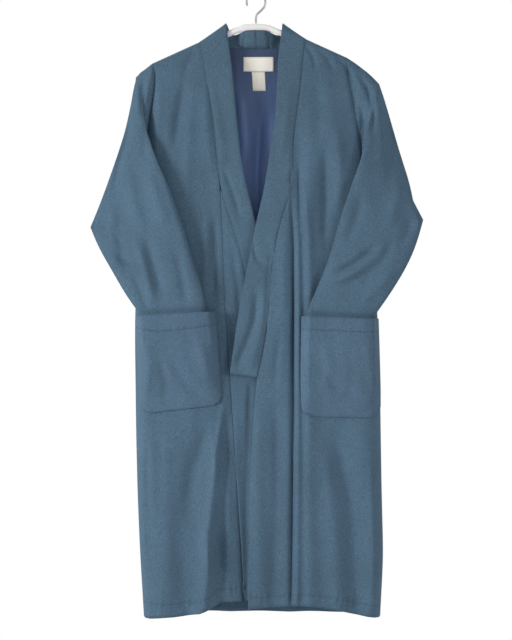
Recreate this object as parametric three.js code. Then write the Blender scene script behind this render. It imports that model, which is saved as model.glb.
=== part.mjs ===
// A long kimono jacket of blue wool cloth, hanging flat on a moulded hanger.
// Millimetres, +Z up. The wearer's left is +X and the front faces -Y. The origin is the inside top of
// the hanger's hook, where a rod holds it; everything hangs below it.
import * as THREE from "three";

// A table written as plain rows, each read by its columns' names.
const table = (names, rows) => rows.map((row) => Object.fromEntries(names.map((name, i) => [name, row[i]])));

// Driving sizes
const CLOTH = 2; // body cloth with its seam allowances and facing
const BAND = 3; // the collar band is folded double over its stiffening
const LINING = 1;
const LABEL = 0.6;
const SEAM = 0.3; // air left between two pieces that are sewn together
const SHOULDER = { z: -43.5, slope: 0.456, round: 9 }; // the shoulder line, and its roll over the hanger
const UNDERARM = -372;
const POINT = -375; // where the front edge seam forks into band seam and overlap seam
const BAND_END = -726; // the square lower end of the collar band
const SIDE_ROLL = 26; // how far the cloth takes to turn from the side seam to the flat front
const ARMHOLE_ROLL = 55;
const ARM = { thick: 11, high: 13, tip: 185, corner: 4.2 }; // hanger arms
const HUB = { half: 18.5, top: -55, bottom: -75.5 };
const HOOK = { wire: 4, inside: 16 };

// Seams and edges of the front, as x at each height. side: armhole and side seam; seam: front to band,
// lower down front to overlap; join: overlap to band, lower down the overlap's own edge; free: the
// band's free edge.
const RIGHT = [
  { z: -92, side: -197, seam: -106, join: -106, free: -53 },
  { z: -133, side: -197, seam: -98, join: -98, free: -47.5 },
  { z: -153, side: -190.5, seam: -95, join: -95, free: -45.5 },
  { z: -180, side: -192, seam: -89.5, join: -89.5, free: -43 },
  { z: -217, side: -199.5, seam: -83.5, join: -83.5, free: -39.5 },
  { z: -260, side: -207, seam: -77.5, join: -77.5, free: -35.5 },
  { z: -300, side: -208.5, seam: -74, join: -74, free: -31 },
  { z: -335, side: -209.5, seam: -71.5, join: -71.5, free: -26.5 },
  { z: -375, side: -213, seam: -67, join: -65.8, free: -17 },
  { z: -450, side: -220, seam: -63.5, join: -39.5, free: 3 },
  { z: -524, side: -225, seam: -61, join: -20, free: 21 },
  { z: -600, side: -229, seam: -58.5, join: -4, free: 40 },
  { z: -660, side: -229, seam: -53.5, join: 8.5, free: 54 },
  { z: -726, side: -228, seam: -49, join: 23, free: 67 },
  { z: -828, side: -227, seam: -42, join: 34, free: 67 },
  { z: -950, side: -224, seam: -35, join: 45, free: 67 },
  { z: -1070, side: -219, seam: -28, join: 52, free: 67 },
  { z: -1185, side: -212, seam: -24, join: 58, free: 67 },
];
const LEFT = [
  { z: -87, side: 171, seam: 93, join: 93, free: 45 },
  { z: -133, side: 172, seam: 86.5, join: 86.5, free: 42.5 },
  { z: -153, side: 173.5, seam: 85, join: 85, free: 42 },
  { z: -180, side: 178, seam: 82.5, join: 82.5, free: 41 },
  { z: -217, side: 186, seam: 77.5, join: 77.5, free: 39 },
  { z: -260, side: 193.5, seam: 70.5, join: 70.5, free: 34 },
  { z: -300, side: 199.5, seam: 67.5, join: 67.5, free: 28 },
  { z: -335, side: 204.5, seam: 66.5, join: 66.5, free: 22.5 },
  { z: -375, side: 210, seam: 66, join: 64.8, free: 16 },
  { z: -450, side: 217, seam: 66, join: 39, free: -2 },
  { z: -524, side: 224, seam: 67, join: 29, free: -15.5 },
  { z: -600, side: 229.5, seam: 69.5, join: 23.5, free: -31.5 },
  { z: -660, side: 232.5, seam: 70, join: 16, free: -39.5 },
  { z: -726, side: 234.5, seam: 67, join: 2, free: -48 },
  { z: -828, side: 236, seam: 66, join: -7, free: -48 },
  { z: -950, side: 238, seam: 69, join: -12, free: -48 },
  { z: -1070, side: 241, seam: 67, join: -14, free: -48 },
  { z: -1185, side: 235, seam: 65, join: -15, free: -48 },
];
// Hem height along x, in front (lifted where the two sides lap) and behind.
const HEM = [
  { x: -214, right: -1181, left: -1161, back: -1181 },
  { x: -165, right: -1178, left: -1161, back: -1181 },
  { x: -110, right: -1172, left: -1161, back: -1179 },
  { x: -88, right: -1163, left: -1161, back: -1178 },
  { x: -72, right: -1150, left: -1161, back: -1178 },
  { x: -15, right: -1149, left: -1162, back: -1179 },
  { x: 70, right: -1149, left: -1156, back: -1179 },
  { x: 100, right: -1149, left: -1156, back: -1179 },
  { x: 145, right: -1149, left: -1162, back: -1180 },
  { x: 192, right: -1149, left: -1173, back: -1181 },
  { x: 240, right: -1149, left: -1181, back: -1181 },
];
// How far the cloth stands in front of, or behind, the shoulder line.
const DEPTH = [
  { z: -90, right: 22, rightEdge: 17, left: 22, leftEdge: 17, back: 18 },
  { z: -250, right: 25, rightEdge: 20, left: 26, leftEdge: 25, back: 20 },
  { z: -440, right: 28, rightEdge: 21, left: 30, leftEdge: 33, back: 24 },
  { z: -620, right: 30, rightEdge: 22, left: 33, leftEdge: 36, back: 27 },
  { z: -830, right: 33, rightEdge: 23, left: 36, leftEdge: 38, back: 31 },
  { z: -1000, right: 37, rightEdge: 25, left: 39, leftEdge: 40, back: 36 },
  { z: -1185, right: 41, rightEdge: 27, left: 42, leftEdge: 42, back: 42 },
];
// The largest folds: the line each runs on, its half width, and how far it stands out (troughs below 0).
const FOLD = ["on", "topX", "topZ", "midX", "midZ", "endX", "endZ", "half", "out"];
const FOLDS = table(FOLD, [
  ["right", -132, -150, -142, -225, -158, -320, 15, -6],
  ["right", -108, -140, -104, -240, -96, -360, 14, 4],
  ["right", -77, -430, -80, -505, -82, -585, 11, -5],
  ["right", -64, -774, -104, -870, -134, -1240, 15, -8],
  ["right", -60, -740, -80, -880, -98, -1240, 14, 11],
  ["right", -51, -760, -66, -900, -76, -1240, 10, -12],
  ["right", -185, -800, -182, -960, -176, -1240, 20, -5],
  ["left", 80, -255, 77, -450, 77, -1240, 8, -10],
  ["left", 98, -280, 97, -600, 100, -1240, 12, 5],
  ["left", 132, -290, 131, -390, 128, -500, 15, -5],
  ["left", 33, -730, 38, -900, 35, -1240, 12, -6],
  ["left", 145, -800, 180, -950, 195, -1240, 17, -9],
  ["back", -122, -420, -130, -760, -142, -1240, 24, -9],
  ["back", -38, -300, -46, -700, -52, -1240, 26, -10],
  ["back", 52, -380, 58, -760, 66, -1240, 24, -11],
  ["back", 142, -520, 150, -860, 160, -1240, 24, -9],
]);
// Sleeve rings from the armhole to the cuff: outer edge, inner edge and underarm seam of each flattened
// ring, and how far its front and back layers stand off the middle.
const RING = ["outX", "outZ", "outY", "inX", "inZ", "inY", "underX", "underZ", "underY", "front", "back"];
const SLEEVE_RIGHT = table(RING, [
  [-214, -145, 0, -212.5, -318, -23, -223, -374, -4, 12, 14],
  [-229, -158, -1, -196, -312, -34, -226, -389, -14, 11, 14],
  [-236, -205, -2, -185, -325, -40, -218, -404, -30, 11, 8],
  [-246.5, -262, -6, -174, -346, -43, -201, -414, -39, 13, 4],
  [-264, -315, -11, -163, -372, -45, -183, -426, -41, 13, 3],
  [-287, -384, -17, -148, -415, -46, -158, -443, -41, 12, 3],
  [-311, -445, -26, -134, -456, -47, -138, -469, -42, 11, 2],
  [-295, -484, -34, -124, -492, -47, -126, -500, -42, 10, 2],
  [-268, -528, -42, -111, -531, -47, -113, -536, -43, 9, 2],
  [-244, -571, -43, -99, -571, -46, -101, -574, -42, 8, 2],
  [-218.5, -606, -42, -94, -605, -44, -96, -607, -41, 7, 2],
  [-206, -646, -41, -95, -644, -43, -97, -646, -40, 7.5, 2],
  [-198, -682, -41, -98, -679, -42, -100, -680, -40, 7.5, 2],
]);
const SLEEVE_LEFT = table(RING, [
  [205, -142, 0, 205, -318, -15, 221, -374, -3, 5, 14],
  [233, -172, -3, 195, -326, -33, 229, -388, -12, 15, 14],
  [244, -205, -3, 186, -350, -41, 221, -403, -27, 13, 12],
  [260, -262, -2, 174, -383, -44, 205, -418, -37, 13, 8],
  [275, -312, -4, 164, -412, -46, 186, -434, -40, 13, 5],
  [290, -358, -9, 154, -446, -47, 165, -462, -42, 12, 3],
  [296, -394, -18, 146, -474, -48, 152, -486, -43, 12, 2],
  [314, -431, -28, 137, -505, -49, 140, -514, -44, 11, 2],
  [298, -486, -40, 124, -539, -49, 126, -546, -45, 10, 2],
  [274, -533, -45, 109, -573, -49, 111, -578, -45, 9, 2],
  [245, -578, -46, 99, -596, -48, 101, -599, -45, 8, 2],
  [219, -614, -46, 94, -615, -47, 96, -617, -44, 7, 2],
  [211, -649, -45, 97, -650, -46, 99, -652, -43, 7.5, 2],
  [204, -684, -45, 101, -686, -45, 103, -687, -43, 7.5, 2],
]);
// The collar band behind the neck, from the shoulder to the centre back: where it is sewn on, its free
// edge, and how far its middle bows forward, to pass under the hub and stand in front of it.
const NECK = [
  { freeX: 55.5, freeY: 8, freeZ: -60, bow: 0 },
  { freeX: 53, freeY: 13, freeZ: -66, bow: 0 },
  { freeX: 44, freeY: 16, freeZ: -78, bow: 0 },
  { freeX: 35, freeY: 12, freeZ: -77, bow: 2 },
  { freeX: 27, freeY: 1, freeZ: -75, bow: 6 },
  { freeX: 18.5, freeY: -9.5, freeZ: -72, bow: 7 },
  { freeX: 0, freeY: -9.5, freeZ: -71, bow: 7 },
];
// Pockets: depth down from the opening as a share, and how far the two sides draw in.
const POCKET = [
  { down: 0, inset: 0, bulge: 1 },
  { down: 0.07, inset: 0, bulge: 1 },
  { down: 0.22, inset: 0, bulge: 1 },
  { down: 0.42, inset: 0, bulge: 0.96 },
  { down: 0.58, inset: 0, bulge: 0.7 },
  { down: 0.75, inset: 0, bulge: 0.32 },
  { down: 0.89, inset: 1, bulge: 0.1 },
  { down: 0.96, inset: 7, bulge: 0.02 },
  { down: 1, inset: 18, bulge: 0 },
];
const CORNERS = ["outX", "outZ", "inX", "inZ", "lowOutX", "lowOutZ", "lowInX", "lowInZ", "bulge"];
const [POCKET_RIGHT, POCKET_LEFT] = table(CORNERS, [
  [-225, -611, -76, -603, -218, -794, -63, -780, 25],
  [229, -617, 87, -612, 234, -803, 83, -800, 26],
]);
// Heights of the sections, as shares from the shoulder to the underarm and then in millimetres.
const ARMHOLE_ROWS = [0.005, 0.019, 0.038, 0.11, 0.22, 0.35, 0.5, 0.67, 0.84];
const BODY_ROWS = [
  POINT, -412, -462, -520, -577, -632, -685, BAND_END,
  -780, -834, -890, -948, -1008, -1068, -1126, -1185,
];
const POINT_ROW = ARMHOLE_ROWS.length + 1;
const BAND_END_ROW = POINT_ROW + 7;

// Small sums
const mix = (a, b, t) => a + (b - a) * t;
const clamp = (t) => Math.min(1, Math.max(0, t));
const ease = (t) => clamp(t) ** 2 * (3 - 2 * clamp(t));
const roll = (t) => Math.sqrt(1 - (1 - clamp(t)) ** 2); // a quarter circle
const v3 = (x, y, z) => new THREE.Vector3(x, y, z);
// A column of a table read at any height, with straight runs between its rows.
function read(table, key, column, at) {
  const down = table[0][key] > table[1][key];
  let i = 0;
  while (i < table.length - 2 && (down ? table[i + 1][key] > at : table[i + 1][key] < at)) i++;
  const a = table[i], b = table[i + 1];
  return mix(a[column], b[column], clamp((at - a[key]) / (b[key] - a[key])));
}
const shoulderZ = (x) => SHOULDER.z - SHOULDER.slope * Math.abs(x);
const outline = (side, column, z) => read(side === "right" ? RIGHT : LEFT, "z", column, z);

function foldDepth(on, x, z) {
  let sum = 0;
  for (const f of FOLDS) {
    if (f.on !== on || z > f.topZ || z < f.endZ) continue;
    const upper = z > f.midZ;
    const t = upper ? (f.topZ - z) / (f.topZ - f.midZ) : (f.midZ - z) / (f.midZ - f.endZ);
    const line = upper ? mix(f.topX, f.midX, t) : mix(f.midX, f.endX, t);
    const fade = Math.min(ease((f.topZ - z) / 90), ease((z - f.endZ) / 90));
    sum += f.out * fade * Math.exp(-(((x - line) / f.half) ** 2));
  }
  return sum;
}

// How deep the cloth lies behind or in front of the shoulder line at a place on the garment.
function standOff(on, x, z) {
  const side = x < 0 ? "right" : "left", sign = x < 0 ? -1 : 1;
  const below = shoulderZ(x) - z;
  let full = read(DEPTH, "z", on, z);
  if (on !== "back") {
    const seam = outline(on, "seam", z);
    const inward = on === "right" ? (x - seam + 90) / 110 : (seam + 90 - x) / 110;
    full = mix(full, read(DEPTH, "z", on + "Edge", z), ease(inward));
  }
  const fall = SHOULDER.round * roll(below / SHOULDER.round)
    + (full - SHOULDER.round) * ease((below - SHOULDER.round) / 170);
  const edge = sign * (outline(on === "back" ? side : on, "side", z) - x);
  const own = on === "back" || (on === "right") === (x < 0);
  // At the armhole the cloth runs on into the sleeve; below it, it rolls round the side seam.
  const open = Math.max(1 - ease(below / 70), 0.55) * ease((z - UNDERARM) / 45);
  const width = mix(SIDE_ROLL, ARMHOLE_ROLL, ease((z - UNDERARM) / 90));
  const turned = own ? mix(open, 1, z > UNDERARM + 1 ? ease(edge / width) * 0.5 + roll(edge / width) * 0.5
    : roll(edge / width)) : 1;
  return fall * turned + foldDepth(on, x, z) * clamp(own ? edge / 30 : 1);
}
const surface = (on, x, z) => v3(x, (on === "back" ? 1 : -1) * standOff(on, x, z), z);
// The outward direction of a panel at a place, and along the shoulder line and the side seams, where a
// front and a back meet face to face.
function facing(on, x, z) {
  const step = 1.5;
  const across = surface(on, x + step, z).sub(surface(on, x - step, z));
  const up = surface(on, x, z + step).sub(surface(on, x, z - step));
  const n = across.cross(up).normalize();
  return on === "back" ? n.negate() : n;
}
const shoulderUp = (x) => v3(Math.sign(x) * SHOULDER.slope, 0, 1).normalize();
const withFacing = (p, n) => Object.assign(p, { n });

// Grids: rows from top to hem, columns from left to right in the photograph's direction (+X).
const ROLL_SHARES = [0, 0.134, 0.5, 1]; // places round a quarter circle
function columns(edgeX, seamX, inner) {
  const sign = Math.sign(seamX - edgeX), out = ROLL_SHARES.map((s) => edgeX + sign * SIDE_ROLL * s);
  const from = out[out.length - 1];
  for (let i = 1; i <= inner; i++) out.push(mix(from, seamX, i / inner));
  return out;
}
const lift = (on, row) => ease((row - (POINT_ROW + 10)) / 5);
function rowHeight(side, row, x, edge) {
  // edge is "side" or "seam": rows run from one to the other, and the top ones follow the shoulder.
  if (row < POINT_ROW) {
    const top = shoulderZ(x), t = row === 0 ? 0 : ARMHOLE_ROWS[row - 1];
    return mix(top, edge === "side" ? UNDERARM : POINT, t);
  }
  return BODY_ROWS[row - POINT_ROW];
}
const ROWS = POINT_ROW + BODY_ROWS.length;
// The end points of a row of a front, found where the row's height meets the seam it ends on.
function rowEnd(side, row, edge) {
  const sign = side === "right" ? -1 : 1;
  let x = sign * (edge === "side" ? 190 : 100), z = 0;
  for (let i = 0; i < 8; i++) {
    z = rowHeight(side, row, x, edge);
    x = outline(side, edge, z);
  }
  return { x, z };
}
function hemmed(on, row, x, z) {
  const k = lift(on, row);
  return mix(z, z + (read(HEM, "x", on, x) - BODY_ROWS[BODY_ROWS.length - 1]), k);
}

function frontGrid(side) {
  const grid = [];
  for (let row = 0; row < ROWS; row++) {
    const a = rowEnd(side, row, "side"), b = rowEnd(side, row, "seam");
    const xs = columns(a.x, b.x, 8);
    const line = xs.map((x, column) => {
      const flat = row === 0 ? shoulderZ(x) : mix(a.z, b.z, (x - a.x) / (b.x - a.x));
      const z = hemmed(side, row, x, flat), p = surface(side, x, z);
      if (row === 0) return withFacing(p, shoulderUp(x));
      if (column === 0 && row >= POINT_ROW) return withFacing(v3(x, 0, z), v3(Math.sign(x), 0, 0));
      if (column === 0) return withFacing(p, facing(side, x, z));
      return column === xs.length - 1 ? withFacing(p, facing(side, x, z)) : p;
    });
    grid.push(side === "left" ? line.reverse() : line);
  }
  return grid;
}
// Places across the back's top edge, with its height: shoulder, neckline and shoulder again.
const BACK_TOP = [
  { x: -171 }, { x: -138 }, { x: -106, z: -91.8 }, { x: -101.5, z: -92.9 }, { x: -84, z: -95.6 },
  { x: -60, z: -98.5 }, { x: -40, z: -101 }, { x: -27, z: -102 }, { x: -18, z: -102.7 }, { x: 0, z: -103 },
  { x: 18, z: -102.7 }, { x: 27, z: -102 }, { x: 38, z: -100.5 }, { x: 56, z: -97 }, { x: 75, z: -92 },
  { x: 89, z: -87.5 }, { x: 93, z: -85.9 }, { x: 120 }, { x: 146 },
];
const NECK_FIRST = 3 + 2, NECK_LAST = 3 + 16; // columns of the back's top row
function backGrid() {
  const grid = [], wide = BACK_TOP[BACK_TOP.length - 1].x - BACK_TOP[0].x;
  for (let row = 0; row < ROWS; row++) {
    const r = rowEnd("right", row, "side"), l = rowEnd("left", row, "side");
    const from = r.x + SIDE_ROLL, to = l.x - SIDE_ROLL;
    const points = BACK_TOP.map((c) => ({ x: mix(from, to, (c.x - BACK_TOP[0].x) / wide), top: c }));
    const ends = ROLL_SHARES.slice(0, 3).map((s) => s * SIDE_ROLL);
    const starts = ends.map((d) => ({ x: r.x + d })), stops = ends.reverse().map((d) => ({ x: l.x - d }));
    grid.push([...starts, ...points, ...stops].map(({ x, top }) => {
      let z = mix(r.z, l.z, (x - r.x) / (l.x - r.x));
      if (row < POINT_ROW) z = mix(top?.z ?? shoulderZ(x), UNDERARM, row === 0 ? 0 : ARMHOLE_ROWS[row - 1]);
      z = hemmed("back", row, x, z);
      const p = surface("back", x, z), seam = top?.x > -106 && top?.x < 93;
      if (row === 0) return withFacing(p, seam ? facing("back", x, z) : shoulderUp(x));
      if (x !== r.x && x !== l.x) return p;
      if (row >= POINT_ROW) return withFacing(v3(x, 0, z), v3(Math.sign(x), 0, 0));
      return withFacing(p, facing("back", x, z));
    }));
  }
  return grid;
}

function overlapGrid(side) {
  const grid = [];
  for (let row = POINT_ROW; row < ROWS; row++) {
    const z = BODY_ROWS[row - POINT_ROW];
    const seam = outline(side, "seam", z), edge = outline(side, "join", z);
    const places = side === "right" ? [0, 0.33, 0.66, 1] : [1, 0.66, 0.33, 0];
    grid.push(places.map((t) => {
      const x = mix(seam, edge, t), y = hemmed(side, row, x, z), p = surface(side, x, y);
      return t === 0 || t === 1 ? withFacing(p, facing(side, x, y)) : p;
    }));
  }
  return grid;
}

// The band: up the front on its seam, over the shoulder, and round behind the neck to the centre back.
function bandGrid(side, back) {
  const grid = [], sign = side === "right" ? -1 : 1, shares = [0, 0.3, 0.65, 1];
  const peak = { x: sign * (side === "right" ? 57.5 : 51.5), z: -57 };
  for (let row = BAND_END_ROW; row >= 0; row--) {
    const b = rowEnd(side, row, "seam"), z = b.z, seam = row >= POINT_ROW ? outline(side, "join", z) : b.x;
    const start = surface(side, seam, z), below = shoulderZ(b.x) - z, slant = row === BAND_END_ROW ? 7 : 0;
    start.n = row === 0 ? shoulderUp(b.x) : facing(side, seam, z);
    const high = v3(mix(peak.x, outline(side, "free", z), clamp(below / 40)), start.y, peak.z - below * 1.6);
    grid.push(shares.map((t) => {
      if (t === 0) return start;
      if (row < 4) return start.clone().lerp(high, t);
      return surface(side, mix(seam, outline(side, "free", z), t), z + slant * t);
    }));
  }
  NECK.forEach((n, i) => {
    const seam = back[0][side === "right" ? NECK_FIRST + 1 + i : NECK_LAST - 1 - i];
    const free = v3(sign * n.freeX, n.freeY, n.freeZ);
    grid.push(shares.map((t) => {
      if (t === 0) return withFacing(seam.clone(), seam.n);
      const p = seam.clone().lerp(free, t);
      p.y -= n.bow * Math.sin(Math.PI * t);
      p.z -= n.bow * 0.9 * Math.sin(Math.PI * t);
      return p;
    }));
  });
  return grid;
}

// The armhole as one loop, down the front and up the back, each place a little outside the body's edge.
function armholeLoop(side, front, back) {
  const out = side === "right" ? -1 : 1;
  const f = front.map((row) => (side === "right" ? row : [...row].reverse()));
  const b = back.map((row) => (side === "right" ? row : [...row].reverse()));
  const place = (g, row) => {
    const away = g[row][0].clone().sub(g[row][1]).normalize();
    return withFacing(g[row][0].clone().addScaledVector(away, SEAM).add(v3(out * 0.45, 0, 0)), g[row][0].n);
  };
  const tip = withFacing(f[0][0].clone().add(v3(out * 0.4, 0, 0)), f[0][0].n);
  const under = withFacing(f[POINT_ROW][0].clone().add(v3(out * 0.5, 0, 3.2)), v3(out, 0, 0));
  const loop = [tip];
  for (let row = 1; row < POINT_ROW; row++) loop.push(place(f, row));
  loop.push(under);
  for (let row = POINT_ROW - 1; row > 0; row--) loop.push(place(b, row));
  return loop;
}
function sleeveGrid(side, front, back) {
  const first = armholeLoop(side, front, back), half = first.length / 2, grid = [first];
  const fold = half - 2; // the place on the ring that runs along the sleeve's inner fold
  for (const r of side === "right" ? SLEEVE_RIGHT : SLEEVE_LEFT) {
    const out = v3(r.outX, r.outY, r.outZ), inner = v3(r.inX, r.inY, r.inZ);
    const under = v3(r.underX, r.underY, r.underZ);
    grid.push(first.map((_, k) => {
      if (k <= fold) {
        const t = (1 - Math.cos((Math.PI * k) / fold)) / 2;
        return out.clone().lerp(inner, t).add(v3(0, -r.front * Math.sin((Math.PI * k) / fold), 0));
      }
      if (k <= half) return inner.clone().lerp(under, (k - fold) / 2).add(v3(0, k === half ? 0 : -0.5, 0));
      const u = (k - half) / half, t = (1 - Math.cos(Math.PI * u)) / 2;
      return under.clone().lerp(out, t).add(v3(0, r.back * Math.sin(Math.PI * u), 0));
    }));
  }
  return grid;
}

function pocketGrid(side) {
  const p = side === "right" ? POCKET_RIGHT : POCKET_LEFT, across = [0, 0.025, 0.09, 0.24, 0.42, 0.6, 0.78, 0.92, 1];
  return POCKET.map((row) => across.map((c) => {
    const u = side === "right" ? c : 1 - c, sign = side === "right" ? 1 : -1;
    const outer = mix(p.outX, p.lowOutX, row.down) + sign * row.inset;
    const x = mix(outer, mix(p.inX, p.lowInX, row.down) - sign * row.inset, u);
    const z = mix(mix(p.outZ, p.lowOutZ, row.down), mix(p.inZ, p.lowInZ, row.down), u);
    return offPanel(side, x, z, CLOTH + SEAM + 1.1 + p.bulge * row.bulge * (1 - Math.abs(2 * u - 1) ** 14));
  }));
}
// A place on a panel, moved out from its face: first along its normal, then straight to the front.
function offPanel(on, x, z, out) {
  const normal = facing(on, x, z), close = Math.min(out, CLOTH + SEAM);
  if (on === "back") normal.negate();
  return surface(on, x, z).addScaledVector(normal, close).add(v3(0, -(out - close), 0));
}

function liningGrid(back) {
  const grid = [];
  for (let row = 1; row <= POINT_ROW + 2; row++) {
    grid.push(back[row].slice(NECK_FIRST + 2, NECK_LAST - 1).reverse().map((p) =>
      offPanel("back", p.x, p.z, (CLOTH + LINING) / 2 + SEAM + 0.2)));
  }
  return grid;
}
function labelGrid(x0, x1, z0, z1, out, lean) {
  return [0, 0.5, 1].map((t) => [0, 0.25, 0.5, 0.75, 1].map((s) => {
    const x = mix(x0, x1, s) + lean * t, z = mix(z0, z1, t);
    const p = surface("back", x, z);
    return p.add(v3(0, -out, 0));
  }));
}

// A sheet of even thickness from a grid of places in its middle: two skins and a rim all round.
function sheet(grid, thick, { ring = false, trim = {} } = {}) {
  const rows = grid.length, cols = grid[0].length;
  const g = grid.map((row) => row.map((p) => p.clone()));
  const at = (i, j) => grid[i][ring ? (j + cols) % cols : Math.min(cols - 1, Math.max(0, j))];
  const pull = (p, q, d) => p.add(q.clone().sub(p).setLength(d));
  for (let i = 0; i < rows; i++) {
    if (trim.left) pull(g[i][0], grid[i][1], trim.left);
    if (trim.right) pull(g[i][cols - 1], grid[i][cols - 2], trim.right);
  }
  for (let j = 0; j < cols; j++) {
    if (trim.top) pull(g[0][j], grid[1][j], trim.top);
    if (trim.bottom) pull(g[rows - 1][j], grid[rows - 2][j], trim.bottom);
  }
  const normal = (i, j) => {
    if (grid[i][j].n) return grid[i][j].n;
    const down = at(Math.min(rows - 1, i + 1), j).clone().sub(at(Math.max(0, i - 1), j));
    const across = at(i, j + 1).clone().sub(at(i, j - 1));
    return down.cross(across).normalize();
  };
  const place = [], index = [];
  for (const face of [1, -1]) {
    for (let i = 0; i < rows; i++) {
      for (let j = 0; j < cols; j++) {
        const p = g[i][j].clone().addScaledVector(normal(i, j), (face * thick) / 2);
        place.push(p.x, p.y, p.z);
      }
    }
  }
  const id = (face, i, j) => face * rows * cols + i * cols + ((j + cols) % cols);
  const quad = (a, b, c, d) => index.push(a, b, c, a, c, d);
  const last = ring ? cols : cols - 1;
  for (let i = 0; i < rows - 1; i++) {
    for (let j = 0; j < last; j++) {
      quad(id(0, i, j), id(0, i + 1, j), id(0, i + 1, j + 1), id(0, i, j + 1));
      quad(id(1, i, j), id(1, i, j + 1), id(1, i + 1, j + 1), id(1, i + 1, j));
    }
    if (!ring) {
      quad(id(0, i, 0), id(1, i, 0), id(1, i + 1, 0), id(0, i + 1, 0));
      quad(id(0, i, cols - 1), id(0, i + 1, cols - 1), id(1, i + 1, cols - 1), id(1, i, cols - 1));
    }
  }
  for (let j = 0; j < last; j++) {
    quad(id(0, 0, j), id(0, 0, j + 1), id(1, 0, j + 1), id(1, 0, j));
    quad(id(0, rows - 1, j), id(1, rows - 1, j), id(1, rows - 1, j + 1), id(0, rows - 1, j + 1));
  }
  const geometry = new THREE.BufferGeometry();
  geometry.setAttribute("position", new THREE.Float32BufferAttribute(place, 3));
  geometry.setIndex(index);
  geometry.computeVertexNormals();
  return geometry;
}

// A solid through a row of closed sections, with flat ends.
function loft(sections) {
  const n = sections[0].length, place = sections.flat().flatMap((p) => [p.x, p.y, p.z]), index = [];
  for (let i = 0; i < sections.length - 1; i++) {
    for (let j = 0; j < n; j++) {
      const a = i * n + j, b = i * n + ((j + 1) % n);
      index.push(a, b, b + n, a, b + n, a + n);
    }
  }
  const end = (sections.length - 1) * n;
  for (let j = 1; j < n - 1; j++) index.push(0, j + 1, j, end, end + j, end + j + 1);
  const geometry = new THREE.BufferGeometry();
  geometry.setAttribute("position", new THREE.Float32BufferAttribute(place, 3));
  geometry.setIndex(index);
  geometry.computeVertexNormals();
  return geometry;
}
function hangerBody() {
  const armTop = (x) => SHOULDER.z - BAND / 2 - 0.55 - SHOULDER.slope * Math.abs(x);
  const stations = [ARM.tip, ARM.tip - 4, ARM.tip - 22, 120, 70, 26, HUB.half, 9];
  const sections = [...stations.map((x) => -x), 0, ...stations.reverse()].map((x) => {
    const hub = Math.abs(x) <= HUB.half, tip = ease((Math.abs(x) - ARM.tip + 22) / 22);
    const top = hub ? HUB.top - Math.abs(x) * 0.06 : armTop(x);
    const bottom = hub ? HUB.bottom + Math.abs(x) * 0.1 : armTop(x) - ARM.high;
    const y = ARM.thick / 2 - tip, r = ARM.corner - tip;
    const t = top - 5 * tip, b = bottom + tip;
    return [v3(x, -y, b + r), v3(x, -y + r, b), v3(x, y - r, b), v3(x, y, b + r),
      v3(x, y, t - r), v3(x, y - r, t), v3(x, -y + r, t), v3(x, -y, t - r)];
  });
  return loft(sections);
}
function hook() {
  const r = (HOOK.inside + HOOK.wire) / 2 + HOOK.inside / 2, centre = -HOOK.inside;
  const turn = (deg) => v3(r * Math.cos((deg * Math.PI) / 180), 0, centre + r * Math.sin((deg * Math.PI) / 180));
  const path = new THREE.CatmullRomCurve3([
    v3(0, 0, HUB.top + SEAM), v3(0, 0, -46), v3(2, 0, -39),
    ...[-55, -25, 10, 45, 90, 135, 170, 200].map(turn)], false, "centripetal");
  const shape = new THREE.Shape().absarc(0, 0, HOOK.wire / 2, 0, Math.PI * 2);
  const along = { extrudePath: path, steps: 26, curveSegments: 5, bevelEnabled: false };
  return new THREE.ExtrudeGeometry(shape, along);
}

// Materials and assembly
const matte = (color, roughness = 0.9) => new THREE.MeshStandardMaterial({ color, roughness, metalness: 0 });
const group = new THREE.Group();
group.name = "kimono_jacket";
function add(name, geometry, material) {
  const mesh = new THREE.Mesh(geometry, material);
  mesh.name = name;
  group.add(mesh);
}
const half = SEAM / 2;
const sewn = { left: half, right: half, top: half };
const front = { right: frontGrid("right"), left: frontGrid("left") };
const back = backGrid();
add("back", sheet(back.map((row) => [...row].reverse()), CLOTH, { trim: sewn }), matte("#526a7e"));
for (const side of ["right", "left"]) {
  const right = side === "right";
  add("front_" + side, sheet(front[side], CLOTH, { trim: sewn }), matte("#5a7288"));
  add("overlap_" + side, sheet(overlapGrid(side), CLOTH, { trim: sewn }), matte("#566e83"));
  const band = bandGrid(side, back);
  const turned = right ? [...band].reverse() : [...band].reverse().map((row) => [...row].reverse());
  const edge = right ? { left: 0.55, top: half } : { right: 0.55, top: half };
  add("band_" + side, sheet(turned, BAND, { trim: edge }), matte("#536d7e"));
  const rings = sleeveGrid(side, front[side], back);
  const sleeve = right ? rings : rings.map((row) => [...row].reverse());
  add("sleeve_" + side, sheet(sleeve, CLOTH, { ring: true }), matte("#5b7388"));
  add("pocket_" + side, sheet(pocketGrid(side), CLOTH), matte("#5d768c"));
}
add("back_lining", sheet(liningGrid(back), LINING), matte("#3e4d6a", 0.45));
const onLining = CLOTH / 2 + SEAM + LINING + SEAM + LABEL / 2;
const tape = matte("#e1dccc", 0.7);
add("neck_label", sheet(labelGrid(-24, 34, -118.5, -145.5, onLining + 0.3, 0), LABEL), tape);
add("care_label", sheet(labelGrid(-8, 17, -146.2, -182, onLining + 0.3, 2), LABEL), tape.clone());
add("hanger", hangerBody(), matte("#f1ece1", 0.4));
const plated = new THREE.MeshStandardMaterial({ color: "#dcdcda", roughness: 0.35, metalness: 0.6 });
add("hanger_hook", hook(), plated);

export default group;
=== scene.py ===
# %% [markdown]
# # A kimono jacket hanging on a hanger
#
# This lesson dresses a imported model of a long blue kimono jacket. The frame holds every piece at its
# real size, in metres, with the front facing -Y and the rod that holds the hanger at the origin. Each
# piece of cloth here starts from its solid, becomes a smooth thin shell, and gets its creases,
# stitching and weave.

# %% Load the frame
import math

import bmesh
import bpy
import numpy as np
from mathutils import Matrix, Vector, kdtree


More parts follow.
